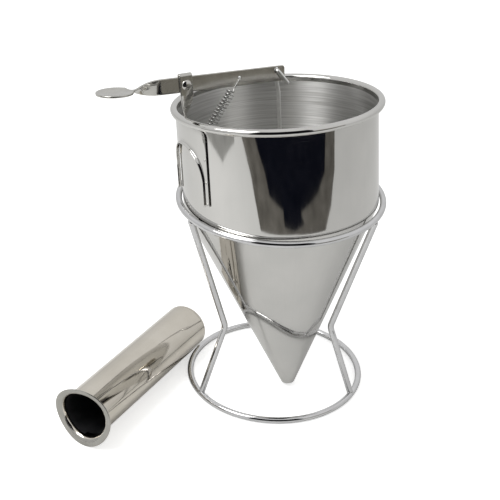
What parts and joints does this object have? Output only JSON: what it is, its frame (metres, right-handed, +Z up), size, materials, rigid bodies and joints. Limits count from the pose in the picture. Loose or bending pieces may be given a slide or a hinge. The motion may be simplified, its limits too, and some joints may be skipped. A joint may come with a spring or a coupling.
{
  "type": "pancake batter dispenser",
  "caption": "Hand-held batter funnel with a thumb lever and spring-closed plug valve, in a wire ring stand, its plug-in tube handle laid beside it.",
  "frame": {"origin": "under the middle of the whole part's box, on the table that the stand and the loose handle rest on", "axes": "+Z up; the stand is to +X of the loose handle, and -Y faces the front from which the lever reaches out to the left"},
  "size_m": [0.2502, 0.1968, 0.2692],
  "materials": {
    "polished_steel": "mirror-polished stainless steel outside, spun lines inside",
    "lever_steel": "polished stainless steel, slightly darker",
    "spring_steel": "drawn spring wire",
    "rod_steel": "drawn round wire and a turned plug",
    "stand_chrome": "bright chrome-plated wire",
    "handle_steel": "mirror-polished steel tube, warm tone"
  },
  "bodies": {
    "stand": {"stand_base_ring": "stand_chrome", "stand_upper_ring": "stand_chrome", "stand_leg_front_left": "stand_chrome", "stand_leg_front_right": "stand_chrome", "stand_leg_back": "stand_chrome"},
    "funnel": {"funnel_body": "polished_steel", "handle_bracket": "polished_steel", "lever_post": "lever_steel", "pivot_rivet": "lever_steel", "spring_anchor": "spring_steel", "return_spring": "spring_steel"},
    "lever": {"lever": "lever_steel"},
    "plunger": {"plunger_rod": "rod_steel", "valve_plug": "rod_steel"},
    "handle": {"handle_tube": "handle_steel", "handle_end_cap": "handle_steel"}
  },
  "joints": [
    {"name": "funnel_lift", "type": "slide", "parent": "stand", "child": "funnel", "axis": [0, 0, 1], "range_m": [0, 0.18]},
    {"name": "lever_pivot", "type": "hinge", "parent": "funnel", "child": "lever", "pos_m": [-0.02791, -0.00851, 0.26103], "axis": [0.4106, -0.9036, 0.1224], "range_deg": [0, 9], "stiffness_Nm_per_rad": 0.35, "springref_deg": -25.78, "deforming": ["return_spring"]},
    {"name": "rod_hook", "type": "hinge", "parent": "lever", "child": "plunger", "pos_m": [0.03756, 0.02144, 0.26245], "axis": [0.4106, -0.9036, 0.1224], "range_deg": [-9, 0]},
    {"name": "handle_lift", "type": "slide", "parent": "stand", "child": "handle", "axis": [0, 0, 1], "range_m": [0, 0.1]}
  ],
  "couplings": [
    {"joint": "rod_hook", "follows": "lever_pivot", "ratio": -1}
  ]
}
